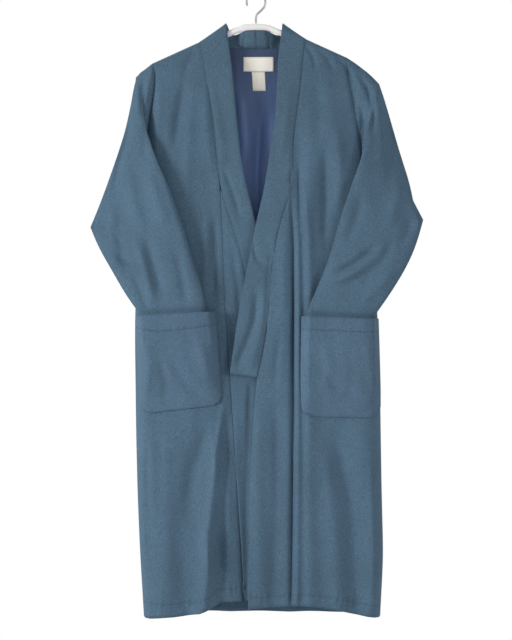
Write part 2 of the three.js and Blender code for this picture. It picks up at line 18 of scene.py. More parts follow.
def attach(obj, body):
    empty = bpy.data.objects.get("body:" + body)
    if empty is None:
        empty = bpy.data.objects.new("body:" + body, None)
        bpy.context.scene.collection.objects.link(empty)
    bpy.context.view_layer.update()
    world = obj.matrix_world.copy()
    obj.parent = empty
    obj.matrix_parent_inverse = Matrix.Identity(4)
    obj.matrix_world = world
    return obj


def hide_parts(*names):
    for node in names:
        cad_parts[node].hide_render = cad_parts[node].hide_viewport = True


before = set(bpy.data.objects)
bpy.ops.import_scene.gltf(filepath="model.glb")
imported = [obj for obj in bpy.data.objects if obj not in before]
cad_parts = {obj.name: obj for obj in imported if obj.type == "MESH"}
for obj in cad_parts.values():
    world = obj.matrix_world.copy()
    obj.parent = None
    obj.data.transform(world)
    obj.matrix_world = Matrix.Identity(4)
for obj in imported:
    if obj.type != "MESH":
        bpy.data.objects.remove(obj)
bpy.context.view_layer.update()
MM = 0.001
print("solids:", len(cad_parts))

# %% [markdown]
# The photograph was taken from straight in front, level with the middle of the coat, from about three
# metres away. A long lens at that distance shows 973 mm across the frame's 512 pixels, which is 1.9 mm
# to a pixel. The camera comes first, so that every later look at the render has the right frame.

# %% Camera
DISTANCE = 3.0
LOOK_HEIGHT = -0.6194
FRAME_WIDTH = 0.9728
camera_data = bpy.data.cameras.new("camera")
camera_data.sensor_fit = "HORIZONTAL"
camera_data.sensor_width = 36.0
camera_data.lens = 36.0 * DISTANCE / FRAME_WIDTH
camera_data.clip_end = 50.0
camera = bpy.data.objects.new("camera", camera_data)
bpy.context.scene.collection.objects.link(camera)
camera.location = (0.0, -DISTANCE, LOOK_HEIGHT)
camera.rotation_euler = (math.radians(90), 0, 0)
bpy.context.scene.camera = camera
print("lens", round(camera_data.lens, 1), "mm")

# %% [markdown]
# The coat was photographed against white in soft light, stronger from the picture's left and brightest
# at the coat's middle. Two soft lamps have grids that keep their beams narrow, and a low, even daylight
# fills the folds. The world looks white to the camera but lights the cloth at less than half of that, so the
# folds keep their shade.

# %% Light and floor
scene = bpy.context.scene
scene.view_settings.view_transform = "Standard"
DAYLIGHT = 0.44
world = bpy.data.worlds.new("white room")
scene.world = world
world.use_nodes = True
seen = world.node_tree.nodes.new("ShaderNodeLightPath")
strength = world.node_tree.nodes.new("ShaderNodeMapRange")
strength.inputs["To Min"].default_value = DAYLIGHT
strength.inputs["To Max"].default_value = 1.0
world.node_tree.links.new(seen.outputs["Is Camera Ray"], strength.inputs["Value"])
world.node_tree.links.new(strength.outputs[0], world.node_tree.nodes["Background"].inputs["Strength"])
world.node_tree.nodes["Background"].inputs["Color"].default_value = (1.0, 1.0, 1.0, 1.0)


def soft_lamp(name, place, target, size, power, beam=180):
    lamp = bpy.data.lights.new(name, "AREA")
    lamp.shape, lamp.size, lamp.energy, lamp.spread = "SQUARE", size, power, math.radians(beam)
    holder = bpy.data.objects.new(name, lamp)
    scene.collection.objects.link(holder)
    holder.location = place
    holder.rotation_euler = (Vector(target) - Vector(place)).to_track_quat("-Z", "Y").to_euler()
    return holder


soft_lamp("lamp_right", (2.3, -2.1, -0.35), (0, 0, -0.62), 0.9, 2.2, beam=60)
soft_lamp("lamp_left", (-2.8, -1.6, -0.35), (0, 0, -0.62), 0.9, 9.4, beam=60)
soft_lamp("lamp_behind", (0.3, 1.6, 1.6), (0, 0, -0.2), 1.4, 40)


def select_only(thing):
    bpy.ops.object.select_all(action="DESELECT")
    thing.select_set(True)
    bpy.context.view_layer.objects.active = thing


bpy.ops.object.select_all(action="DESELECT")
bpy.ops.mesh.primitive_plane_add(size=3, location=(0, -0.45, -1.45))
floor = bpy.context.object
floor.name = "floor"
floor_paint = bpy.data.materials.new("white_floor_paint")
floor_paint.use_nodes = True
floor_paint.node_tree.nodes["Principled BSDF"].inputs["Base Color"].default_value = (0.9, 0.9, 0.9, 1.0)
floor_paint.node_tree.nodes["Principled BSDF"].inputs["Roughness"].default_value = 0.8
floor.data.materials.append(floor_paint)

# %% [markdown]
# Materials are built from a few nodes. One function turns the hex colours that a dyer or a paint card
# would give into the linear values that Blender works in, and one adds a node with its settings.

# %% Colour and node helpers
def colour(code):
    parts = [int(code[i : i + 2], 16) / 255 for i in (1, 3, 5)]
    return tuple(p / 12.92 if p <= 0.04045 else ((p + 0.055) / 1.055) ** 2.4 for p in parts) + (1.0,)


def add_node(material, kind, inputs=None, **settings):
    made = material.node_tree.nodes.new(kind)
    for key, value in settings.items():
        setattr(made, key, value)
    for key, value in (inputs or {}).items():
        if isinstance(value, bpy.types.NodeSocket):
            material.node_tree.links.new(value, made.inputs[key])
        else:
            made.inputs[key].default_value = value
    return made


def new_material(name):
    material = bpy.data.materials.new(name)
    material.use_nodes = True
    return material, material.node_tree.nodes["Principled BSDF"]


# %% [markdown]
# The cloth is a wool twill: fine diagonal ribs, a dry matte face with a little nap, and a heathered
# blue in which single fibres are lighter and darker. The ribs are about 0.8 mm apart on the real coat,
# too fine for a picture at 1.9 mm to a pixel, so they are drawn 2.6 mm apart and very shallow. An
# attribute on each mesh darkens the cloth along its seams, edges and stitched grooves. This is painted
# shade, where the cloth sinks and under the edges that lie on it.

# %% Wool twill
TWILL_MM = 2.6
FIBRE_MM = 1.7


def wool_twill(name, light, dark):
    material, skin = new_material(name)
    place = add_node(material, "ShaderNodeTexCoord").outputs["Object"]
    turned = add_node(material, "ShaderNodeMapping", {"Vector": place, "Rotation": (0, math.radians(52), 0)})
    ribs = add_node(material, "ShaderNodeTexWave", {"Vector": turned.outputs[0], "Scale": 0.314 / (TWILL_MM * MM),
                    "Distortion": 1.2, "Detail": 1.0}, wave_type="BANDS", bands_direction="X")
    fibres = add_node(material, "ShaderNodeTexNoise", {"Vector": place, "Scale": 1 / (FIBRE_MM * MM), "Detail": 3.0})
    patches = add_node(material, "ShaderNodeTexNoise", {"Vector": place, "Scale": 9.0, "Detail": 3.0, "Roughness": 0.6})
    painted_shade = add_node(material, "ShaderNodeAttribute", attribute_name="painted_shade").outputs["Fac"]
    heather = add_node(material, "ShaderNodeMapRange", {"Value": fibres.outputs[0], "From Min": 0.33, "From Max": 0.67})
    ground = add_node(material, "ShaderNodeMix", {0: heather.outputs[0], 6: colour(dark), 7: colour(light)},
                      data_type="RGBA")
    cloudy = add_node(material, "ShaderNodeMapRange", {"Value": patches.outputs[0], "From Min": 0.25, "From Max": 0.75,
                      "To Min": 0.9, "To Max": 1.09})
    shaded = add_node(material, "ShaderNodeVectorMath", {0: ground.outputs[2], 3: cloudy.outputs[0]}, operation="SCALE")
    # Painted shade: the base colour falls to 72% along seams, edges and stitched grooves.
    painted_shade_factor = add_node(material, "ShaderNodeMapRange", {"Value": painted_shade, "To Min": 1.0, "To Max": 0.72})
    final = add_node(material, "ShaderNodeVectorMath", {0: shaded.outputs[0], 3: painted_shade_factor.outputs[0]}, operation="SCALE")
    material.node_tree.links.new(final.outputs[0], skin.inputs["Base Color"])
    height = add_node(material, "ShaderNodeMath", {0: ribs.outputs["Fac"], 1: fibres.outputs[0]}, operation="ADD")
    bump = add_node(material, "ShaderNodeBump", {"Height": height.outputs[0], "Strength": 0.55, "Distance": 0.0005})
    material.node_tree.links.new(bump.outputs[0], skin.inputs["Normal"])
    skin.inputs["Roughness"].default_value = 0.9
    skin.inputs["Specular IOR Level"].default_value = 0.25
    skin.inputs["Sheen Weight"].default_value = 0.1
    skin.inputs["Sheen Roughness"].default_value = 0.45
    skin.inputs["Sheen Tint"].default_value = colour("#9fb4c4")
    return material


wool = wool_twill("wool_twill_blue", "#5b778c", "#435b6f")
wool_pocket = wool_twill("wool_twill_blue_pocket", "#5e798f", "#465e73")
wool_band = wool_twill("wool_twill_blue_band", "#5a768a", "#425a6d")

# %% [markdown]
# The lining is an acetate satin: a deep navy that shines along its soft vertical folds. Its threads are
# far too fine to see, so the finish is a medium roughness with some anisotropy, and a slow waviness. Its
# colour is painted darker near the neck, as painted shade under the collar, and paler lower down, as a
# painted sheen where satin that leans back picks up the daylight.

# %% Satin lining, label tape, hanger plastic, wire and thread
def satin(name):
    material, skin = new_material(name)
    place = add_node(material, "ShaderNodeTexCoord").outputs["Object"]
    stretched = add_node(material, "ShaderNodeMapping", {"Vector": place, "Scale": (34.0, 34.0, 5.0)})
    waves = add_node(material, "ShaderNodeTexNoise", {"Vector": stretched.outputs[0], "Scale": 1.0, "Detail": 2.0})
    ground = add_node(material, "ShaderNodeMix", {0: waves.outputs[0], 6: colour("#3a5076"), 7: colour("#4d6592")},
                      data_type="RGBA")
    # Painted shade and sheen: the colour is scaled by height, from 0.62 at the neck to 2.5 lower down.
    height = add_node(material, "ShaderNodeSeparateXYZ", {"Vector": place}).outputs["Z"]
    painted_shade_and_sheen = add_node(material, "ShaderNodeMapRange", {"Value": height, "From Min": -0.12, "From Max": -0.38,
                     "To Min": 0.62, "To Max": 2.5})
    shown = add_node(material, "ShaderNodeVectorMath", {0: ground.outputs[2], 3: painted_shade_and_sheen.outputs[0]}, operation="SCALE")
    material.node_tree.links.new(shown.outputs[0], skin.inputs["Base Color"])
    bump = add_node(material, "ShaderNodeBump", {"Height": waves.outputs[0], "Strength": 0.6, "Distance": 0.004})
    material.node_tree.links.new(bump.outputs[0], skin.inputs["Normal"])
    skin.inputs["Roughness"].default_value = 0.42
    skin.inputs["Anisotropic"].default_value = 0.4
    return material


def label_tape(name, ground_code, thread_code, thread_mm):
    material, skin = new_material(name)
    place = add_node(material, "ShaderNodeTexCoord").outputs["Object"]
    weave = add_node(material, "ShaderNodeTexWave", {"Vector": place, "Scale": 0.314 / (thread_mm * MM),
                     "Distortion": 0.4}, wave_type="BANDS", bands_direction="Z")
    ground = add_node(material, "ShaderNodeMix", {0: weave.outputs["Fac"], 6: colour(thread_code),
                      7: colour(ground_code)}, data_type="RGBA")
    material.node_tree.links.new(ground.outputs[2], skin.inputs["Base Color"])
    bump = add_node(material, "ShaderNodeBump", {"Height": weave.outputs["Fac"], "Strength": 0.3, "Distance": 0.0002})
    material.node_tree.links.new(bump.outputs[0], skin.inputs["Normal"])
    skin.inputs["Roughness"].default_value = 0.6
    return material


# Moulded polystyrene: smooth, slightly warm white, with faint sink marks from the mould.
def moulded_polystyrene(name):
    material, skin = new_material(name)
    place = add_node(material, "ShaderNodeTexCoord").outputs["Object"]
    sinks = add_node(material, "ShaderNodeTexNoise", {"Vector": place, "Scale": 60.0, "Detail": 1.0})
    ground = add_node(material, "ShaderNodeMix", {0: sinks.outputs[0], 6: colour("#fcf9f3"), 7: colour("#ffffff")},
                      data_type="RGBA")
    material.node_tree.links.new(ground.outputs[2], skin.inputs["Base Color"])
    bump = add_node(material, "ShaderNodeBump", {"Height": sinks.outputs[0], "Strength": 0.2, "Distance": 0.0006})
    material.node_tree.links.new(bump.outputs[0], skin.inputs["Normal"])
    skin.inputs["Roughness"].default_value = 0.38
    skin.inputs["Subsurface Weight"].default_value = 0.35
    skin.inputs["Subsurface Scale"].default_value = 0.006
    return material


# Bright-drawn steel wire, plated: fine lines run along it from the drawing die.
def plated_wire(name):
    material, skin = new_material(name)
    place = add_node(material, "ShaderNodeTexCoord").outputs["Object"]
    lines = add_node(material, "ShaderNodeTexNoise", {"Vector": place, "Scale": 900.0, "Detail": 2.0})
    rough = add_node(material, "ShaderNodeMapRange", {"Value": lines.outputs[0], "To Min": 0.2, "To Max": 0.36})
    material.node_tree.links.new(rough.outputs[0], skin.inputs["Roughness"])
    skin.inputs["Base Color"].default_value = colour("#d9d9d6")
    skin.inputs["Metallic"].default_value = 1.0
    return material


# Sewing thread: twisted polyester with a soft sheen and a slight change of tone along it.
def sewing_thread(name, light, dark):
    material, skin = new_material(name)
    place = add_node(material, "ShaderNodeTexCoord").outputs["Object"]
    twist = add_node(material, "ShaderNodeTexNoise", {"Vector": place, "Scale": 700.0, "Detail": 2.0})
    ground = add_node(material, "ShaderNodeMix", {0: twist.outputs[0], 6: colour(dark), 7: colour(light)},
                      data_type="RGBA")
    material.node_tree.links.new(ground.outputs[2], skin.inputs["Base Color"])
    skin.inputs["Roughness"].default_value = 0.55
    return material


lining_satin = satin("acetate_satin_navy")
thread = sewing_thread("polyester_thread_blue", "#3f566b", "#2f4354")
pale_thread = sewing_thread("polyester_thread_white", "#ece8db", "#d6d1c2")
neck_tape = label_tape("damask_label_tape", "#fffdf4", "#f8f4e6", 0.9)
care_tape = label_tape("printed_label_satin", "#faf7ea", "#eeeadb", 0.7)
polystyrene = moulded_polystyrene("moulded_polystyrene_white")
wire = plated_wire("plated_steel_wire")

# %% [markdown]
# Every cloth piece starts as a copy of its solid: a closed shell, 1 to 3 mm thick, whose loose
# triangles are merged first and paired back into quads. The solids stand 0.3 mm apart at the seams, so
# each rim first grows by half of that, until sewn pieces meet, and the band's by more, as it lies on top. A subdivision surface then rounds the
# panels, with creased edges that keep the outline and pinned corners wherever that outline turns.
# Modelling the shell again from a plane would only repeat sizes that the solid already has.

# %% Copy a solid as a smooth shell
HALF_GAP = 0.14


def cut_edges(mesh):
    """The edges where a shell's faces turn sharply into its narrow rim."""
    return {e for e in mesh.edges if len(e.link_faces) == 2 and e.calc_face_angle(0) > math.radians(50)}


def meet_at_seams(mesh, cut, lap):
    """Grows the rim of a shell, in millimetres, across the gap that the solids leave at a seam."""
    outward = {}
    for face in mesh.faces:
        sides = list(face.edges)
        if len(sides) == 4 and any(sides[i] in cut and sides[i + 2] in cut for i in (0, 1)):
            for vertex in face.verts:
                outward[vertex] = outward.get(vertex, Vector()) + face.normal
    for vertex, direction in outward.items():
        vertex.co += direction.normalized() * lap * MM


def pinned(vertex, cut, turn=14):
    """True where an outline turns a corner, so that rounding must not cut it off."""
    ways = [(e.other_vert(vertex).co - vertex.co).normalized() for e in vertex.link_edges if e in cut]
    return len(ways) > 2 or (len(ways) == 2 and ways[0].angle(-ways[1]) > math.radians(turn))


def shell(node, level=3, sharp=True, corners=(), lap=HALF_GAP):
    piece = bpy.data.objects.new(node + "_cloth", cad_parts[node].data.copy())
    scene.collection.objects.link(piece)
    piece.data.materials.clear()
    select_only(piece)
    bpy.ops.object.mode_set(mode="EDIT")
    bpy.ops.mesh.select_all(action="SELECT")
    bpy.ops.mesh.remove_doubles(threshold=0.00002)
    bpy.ops.mesh.tris_convert_to_quads(face_threshold=math.radians(60), shape_threshold=math.radians(60))
    bpy.ops.object.mode_set(mode="OBJECT")
    if sharp:
        crease_outline(piece, corners, lap)
    modifier = piece.modifiers.new("smooth", "SUBSURF")
    modifier.levels = modifier.render_levels = level
    bpy.ops.object.modifier_apply(modifier=modifier.name)
    bpy.ops.object.shade_smooth_by_angle(angle=math.radians(50))
    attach(piece, "root")
    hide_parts(node)
    return piece


def crease_outline(piece, corners, lap):
    mesh = bmesh.new()
    mesh.from_mesh(piece.data)
    along = mesh.edges.layers.float.new("crease_edge")
    at_point = mesh.verts.layers.float.new("crease_vert")
    cut = cut_edges(mesh)
    meet_at_seams(mesh, cut, lap)
    for edge in cut:
        edge[along] = 1.0
    for vertex in mesh.verts:
        flat = (vertex.co.x / MM, vertex.co.z / MM)
        if pinned(vertex, cut):
            vertex[at_point] = 1.0
        elif any(math.dist(flat, corner) < 7 for corner in corners):
            vertex[at_point] = 0.8
    mesh.to_mesh(piece.data)
    mesh.free()


def refine(piece, line, reach, cuts):
    """Divides the faces within reach of a line, so that a row of stitching can mark them."""
    centres = np.array([tuple(face.center) for face in piece.data.polygons])
    away, _ = along_line(centres, line)
    select_only(piece)
    bpy.ops.object.mode_set(mode="EDIT")
    bpy.ops.mesh.select_mode(type="FACE")
    bpy.ops.mesh.select_all(action="DESELECT")
    bpy.ops.object.mode_set(mode="OBJECT")
    piece.data.polygons.foreach_set("select", away < reach * MM)
    bpy.ops.object.mode_set(mode="EDIT")
    bpy.ops.mesh.subdivide(number_cuts=cuts)
    bpy.ops.object.mode_set(mode="OBJECT")


# %% [markdown]
# The cloth's own form comes from a few kinds of shaping. A crease is a soft trough or ridge along a
# line drawn on the coat as seen from the front: a list of places, a half width and a depth, all in
# millimetres. Both faces of the shell move together, so that it keeps its thickness. Sleeves and
# pockets are hollow, so for them only the layer nearest the viewer moves.

# %% Shaping cloth
def points_of(piece):
    place = np.empty(len(piece.data.vertices) * 3)
    piece.data.vertices.foreach_get("co", place)
    return place.reshape(-1, 3)


def put_points(piece, place):
    piece.data.vertices.foreach_set("co", place.reshape(-1))
    piece.data.update()


def along_line(place, line):
    """How far each point lies from a line in the front view, and how far along it, from 0 to 1."""
    line = np.array(line, float) * MM
    lengths = np.linalg.norm(line[1:] - line[:-1], axis=1)
    start, best, share = 0.0, np.full(len(place), 9.0), np.zeros(len(place))
    flat = place[:, [0, 2]]
    for a, b, length in zip(line[:-1], line[1:], lengths):
        t = np.clip(((flat - a) @ (b - a)) / length**2, 0, 1)
        away = np.linalg.norm(flat - (a + t[:, None] * (b - a)), axis=1)
        nearer = away < best
        best[nearer], share[nearer] = away[nearer], ((start + t * length) / lengths.sum())[nearer]
        start += length
    return best, share


def front_share(place, thickness=0.0):
    """1 on the layer of a hollow piece that is nearest the viewer, 0 on the far layer."""
    cell = 0.010
    key = np.floor(place[:, [0, 2]] / cell).astype(int)
    low, high = {}, {}
    for (i, j), y in zip(map(tuple, key), place[:, 1]):
        low[i, j] = min(low.get((i, j), 9), y)
        high[i, j] = max(high.get((i, j), -9), y)
    share = np.empty(len(place))
    for n, ((i, j), y) in enumerate(zip(map(tuple, key), place[:, 1])):
        middle = (low[i, j] + high[i, j]) / 2
        span = max(high[i, j] - low[i, j] - 0.004, 0.002)
        share[n] = min(1.0, max(0.0, 0.5 + 1.6 * (middle - y) / span))
    return share


def fade(share, start, end):
    rise = np.clip(share / start, 0, 1) if start else 1.0
    fall = np.clip((1 - share) / end, 0, 1) if end else 1.0
    both = np.minimum(rise, fall)
    return both * both * (3 - 2 * both)


def crease(piece, line, half, out, start=0.3, end=0.3, spread=0.0, weight=None):
    """A soft ridge (out above 0) or trough along a line of (x, z) places, in millimetres. With spread
    it starts narrow and ends wide."""
    place = points_of(piece)
    away, share = along_line(place, line)
    width = half * MM * (1 + spread * (2 * share - 1))
    push = out * MM * np.exp(-((away / width) ** 2)) * fade(share, start, end)
    if weight is not None:
        push = push * weight
    place[:, 1] -= push
    put_points(piece, place)


def waver(piece, depth=1.0, size=85, seed=7):
    """Slow unevenness of hanging cloth, the same for every layer at a place, so that seams stay shut."""
    place = points_of(piece)
    rng = np.random.default_rng(seed)
    push = np.zeros(len(place))
    for _ in range(9):
        across, up = rng.normal(0, 1 / size), rng.normal(0, 0.25 / size)
        push += np.cos((place[:, 0] * across + place[:, 2] * up) / MM * 2 * math.pi + rng.uniform(0, 6.3))
    below_shoulder = np.clip((-0.12 - place[:, 2]) / 0.12, 0, 1)
    place[:, 1] -= push * below_shoulder * depth * MM / 3
    put_points(piece, place)


# %% [markdown]
# Seams and edges are what make cloth read as sewn. Along a seam the cloth dips a little where the
# stitches pull it in, and a row of topstitching makes a finer groove with a pucker at each stitch. The
# attribute filled here for the material paints shade into these dips and grooves.

# %% Seams, stitching and hems
def painted_shade_of(piece):
    layer = piece.data.attributes.get("painted_shade") or piece.data.attributes.new("painted_shade", "FLOAT", "POINT")
    values = np.empty(len(piece.data.vertices))
    layer.data.foreach_get("value", values)
    return layer, values


def groove(piece, line, half, depth, dark=0.5, pucker=0.0, stitch=9.0, weight=None):
    place = points_of(piece)
    away, share = along_line(place, line)
    length = sum(math.dist(a, b) for a, b in zip(line[:-1], line[1:]))
    near = np.exp(-((away / (half * MM)) ** 2))
    wide = np.exp(-((away / (half * 6 * MM)) ** 2)) * (1 - 0.7 * near)
    turns = share * length / stitch
    wave = np.sin(turns * 6.3) * (0.55 + 0.45 * np.sin(turns * 0.83)) + 0.6 * np.sin(turns * 3.9 + 1.3)
    push = -depth * MM * near + pucker * MM * wide * wave
    if weight is None:
        weight = np.ones(len(place))
    place[:, 1] -= push * weight
    put_points(piece, place)
    # Painted shade: the groove is darkened by the amount dark.
    layer, values = painted_shade_of(piece)
    layer.data.foreach_set("value", np.maximum(values, near * dark * weight))


def seam_dip(piece, half=4.0, depth=0.8, dark=0.35):
    """Every panel's outline is a seam or a turned edge, and sinks a little towards the body, with painted shade along
    it.
    """
    mesh = bmesh.new()
    mesh.from_mesh(piece.data)
    rim = {vertex.index for edge in cut_edges(mesh) for vertex in edge.verts}
    mesh.free()
    place = points_of(piece)
    tree = kdtree.KDTree(len(rim))
    for number, index in enumerate(rim):
        tree.insert(place[index], number)
    tree.balance()
    away = np.array([tree.find(point)[2] for point in place])
    near = np.exp(-((away / (half * MM)) ** 2))
    layer, values = painted_shade_of(piece)
    layer.data.foreach_set("value", np.maximum(values, near * dark))
    place[:, 1] -= np.clip(place[:, 1] / 0.012, -1, 1) * depth * MM * near
    put_points(piece, place)


def report(piece):
    low, high = points_of(piece).min(0), points_of(piece).max(0)
    print(piece.name, len(piece.data.polygons), "faces,", np.round((high - low) / MM).astype(int), "mm")

# %% [markdown]
# All sheets of the body are made first, then the folds go through whichever sheets lie there: a fold
# that runs off a front into the overlap or the sleeve has the same depth on both sides of the seam. The
# elbows are the only corners that no seam makes, so they are named here.

# %% Sheets of the coat
SIDES = ("right", "left")
ELBOW = {"right": (-311, -445), "left": (314, -431)}
front = {side: shell("front_" + side) for side in SIDES}
overlap = {side: shell("overlap_" + side) for side in SIDES}
band = {side: shell("band_" + side, lap=1.3) for side in SIDES}
sleeve = {side: shell("sleeve_" + side, corners=[ELBOW[side]], lap=0.6) for side in SIDES}
pocket = {side: shell("pocket_" + side) for side in SIDES}
back = shell("back")
back_lining = shell("back_lining")
near_layer = {side: front_share(points_of(sleeve[side])) for side in SIDES}


def fold(side, lines, fall=0.3, spread=0.0):
    """Runs folds through the front, the overlap, the band and the near layer of the sleeve."""
    for line, half, out in lines:
        for piece in (front[side], overlap[side], band[side]):
            crease(piece, line, half, out, end=fall, spread=spread)
        crease(sleeve[side], line, half, out, end=fall, spread=spread, weight=near_layer[side])


# %% [markdown]
# The wearer's right side hangs from the shoulder in two long soft folds beside the band, and falls from
# the pocket's corner in one deep bright fold, where the weight of the overlap drags it. Each fold was
# read from the photograph as a line of (x, z) places, a half width and a depth in millimetres, and no
# two are alike.

# %% Folds of the wearer's right side
fold("right", [
    ([(-133, -155), (-145, -229), (-158, -310)], 9, -4.5),
    ([(-97, -170), (-92, -263), (-83, -350)], 10, 3.0),
    ([(-118, -150), (-124, -230), (-130, -330), (-128, -430)], 11, 2.6),
    ([(-112, -106), (-130, -134), (-138, -170)], 7, -2.2),
    ([(-195, -159), (-205, -244), (-212, -330)], 8, -4.0),
    ([(-180, -150), (-186, -240), (-190, -340)], 9, 2.5),
    ([(-77, -420), (-79, -522), (-82, -590)], 6, -4.5),
    ([(-92, -400), (-95, -500), (-98, -600)], 8, 2.4),
    ([(-46, -470), (-34, -560), (-26, -650)], 7, -2.6),
])
fold("right", [
    ([(-72, -780), (-96, -840), (-118, -900), (-132, -970), (-142, -1050), (-148, -1175)], 16, -3.5),
    ([(-54, -748), (-66, -807), (-74, -870), (-80, -940), (-88, -1030), (-97, -1175)], 9, 7.5),
    ([(-44, -760), (-52, -840), (-58, -940), (-62, -1040), (-68, -1170)], 14, -3.0),
    ([(-170, -800), (-168, -930), (-170, -1060), (-172, -1180)], 15, 3.5),
    ([(-206, -820), (-204, -980), (-196, -1180)], 10, -4.0),
    ([(-47, -800), (-52, -950), (-56, -1150)], 6, 2.4),
    ([(-26, -770), (-26, -950), (-25, -1150)], 15, -5.0),
], fall=0.03, spread=0.5)
report(front["right"])

# %% [markdown]
# The wearer's left side lies over the right one. Its overlap seam is pulled into a deep valley from the
# chest to the hem, with a round roll of cloth beside it, and a second fold swings out to the side below
# the pocket.

# %% Folds of the wearer's left side
fold("left", [
    ([(131, -280), (132, -400), (128, -500)], 9, -4.5),
    ([(152, -240), (158, -340), (150, -440)], 11, 3.0),
    ([(171, -128), (184, -178), (190, -235)], 6, -4.0),
    ([(112, -140), (120, -220), (116, -300)], 12, -2.2),
    ([(90, -92), (108, -118), (114, -152)], 5, -2.6),
    ([(112, -100), (136, -124), (150, -156)], 6, -2.4),
    ([(148, -116), (172, -138), (182, -168)], 5, -2.6),
    ([(60, -420), (52, -520), (50, -640)], 9, 1.6),
    ([(45, -640), (38, -700), (36, -760)], 7, -2.6),
])
fold("left", [
    ([(65, -330), (66, -400), (69, -480), (70, -600), (70, -800), (68, -960), (66, -1165)], 3.6, -6.5),
    ([(79, -280), (79, -420), (80, -600), (79, -800), (78, -960), (77, -1165)], 6.5, 6.5),
    ([(98, -300), (99, -488), (99, -638), (96, -864), (99, -1160)], 9, 3.0),
    ([(60, -640), (58, -800), (58, -960), (54, -1160)], 9, 1.2),
    ([(140, -790), (160, -880), (176, -946), (186, -1018), (194, -1170)], 15, -4.0),
    ([(122, -830), (138, -930), (150, -1040), (156, -1165)], 14, 3.5),
    ([(214, -850), (219, -960), (222, -1175)], 10, 3.0),
    ([(33, -736), (37, -792), (39, -850), (37, -1042), (32, -1160)], 9, -2.0),
    ([(4, -760), (4, -930), (6, -1160)], 12, 2.6),
], fall=0.03, spread=0.25)
report(front["left"])

# %% [markdown]
# The collar band is folded double and pressed, so it is stiffer and smoother than the fronts. Two slack
# folds run down to its square end where the weight of the left front pulls it, and short bends mark
# where it turns at the chest. Behind the neck it has its one seam, at the centre, between two tucks where
# it steps forward of the hanger.

# %% Folds of the collar band
# The centre seam and the two tucks behind the neck are grooves, darkened with painted shade.
for side in SIDES:
    groove(band[side], [(0, -66), (0, -104)], 1.8, 1.4, dark=0.9)
    groove(band[side], [(-20, -66), (-24, -84), (-25, -100)], 3.0, 2.6, dark=0.8)
    groove(band[side], [(18, -66), (23, -84), (25, -100)], 3.0, 2.6, dark=0.8)
for line, half, out in [
    ([(-88, -150), (-70, -250), (-56, -350)], 9, 1.6),
    ([(-66, -320), (-38, -392), (-30, -440)], 6, -2.4),
]:
    crease(band["right"], line, half, out)
for line, half, out in [
    ([(4, -545), (-2, -620), (-18, -665), (-40, -716)], 7, -5.0),
    ([(20, -540), (14, -610), (2, -665), (-14, -720)], 9, 3.0),
    ([(-8, -470), (2, -505), (22, -520)], 5, -3.4),
    ([(30, -470), (22, -560), (16, -640)], 6, -2.6),
    ([(80, -334), (60, -362)], 6, -3.0),
    ([(62, -150), (60, -230), (46, -320)], 10, 1.8),
]:
    crease(band["left"], line, half, out, end=0.15)

# %% [markdown]
# The sleeves are flat tubes that hang from the armhole, swell at the elbow and come forward into the
# pockets. Their creases gather where the cloth bends: fans at the elbow and across the forearm, and
# tucks at the head of the left sleeve, where it was folded under when it was hung up. The far layer,
# which the photograph hides, gets shallower ones beside them.

# %% Sleeves
POCKET_MOUTH = {"right": [(-224, -606), (-78, -599)], "left": [(88, -608), (228, -613)]}
sleeve_creases = {
    "right": [
        ([(-210, -450), (-190, -522), (-168, -590)], 9, -4.0),
        ([(-224, -465), (-206, -530), (-188, -600)], 8, 4.0),
        ([(-232, -528), (-214, -570), (-199, -610)], 7, -3.2),
        ([(-268, -497), (-240, -512), (-207, -508)], 6, -3.5),
        ([(-290, -436), (-258, -470), (-240, -540)], 11, -3.5),
        ([(-229, -222), (-244, -275), (-259, -325), (-270, -390)], 7, -5.0),
        ([(-212, -156), (-216, -200), (-208, -250)], 7, -4.5),
        ([(-222, -170), (-232, -240), (-238, -300)], 10, 3.5),
        ([(-200, -330), (-188, -390), (-160, -455)], 12, 3.5),
        ([(-240, -330), (-230, -400), (-205, -470)], 13, 3.5),
        ([(-152, -478), (-140, -530), (-128, -598)], 9, -3.5),
        ([(-262, -400), (-272, -450), (-258, -500)], 9, 3.0),
    ],
    "left": [
        ([(236, -474), (180, -516), (137, -538)], 6, -6.0),
        ([(232, -492), (180, -532), (140, -552)], 7, 4.0),
        ([(218, -524), (177, -547), (132, -556)], 5, -4.5),
        ([(264, -458), (235, -510), (185, -562)], 7, -4.5),
        ([(266, -516), (232, -556), (190, -590)], 9, 3.5),
        ([(192, -146), (211, -181), (221, -222), (218, -280)], 5, -5.5),
        ([(199, -200), (204, -250), (200, -310)], 6, -4.0),
        ([(212, -156), (232, -205), (238, -270), (230, -340)], 9, 3.5),
        ([(248, -215), (256, -290), (250, -370)], 11, -3.5),
        ([(272, -330), (264, -400), (236, -470)], 12, 3.5),
        ([(200, -380), (188, -430), (166, -486)], 10, -3.5),
        ([(296, -420), (284, -456), (258, -500)], 9, -3.0),
    ],
}
# Along the pocket's mouth the near layer of each sleeve gets a groove darkened with a painted shadow.
for side in SIDES:
    for line, half, out in sleeve_creases[side]:
        crease(sleeve[side], line, half, out, weight=near_layer[side])
    for line, half, out in sleeve_creases[side][::2]:
        beside = [(x * 0.97, z - 12) for x, z in line]
        crease(sleeve[side], beside, half * 1.3, 2.2, weight=1 - near_layer[side])
    groove(sleeve[side], POCKET_MOUTH[side], 4.5, 2.0, dark=0.55, weight=near_layer[side])
    report(sleeve[side])

# %% [markdown]
# The back is not in the photograph. It hangs from the same shoulders, so it gets the same kind of
# folds: long, shallow and unequal, opening towards the hem, and nearly flat between the shoulder
# blades.

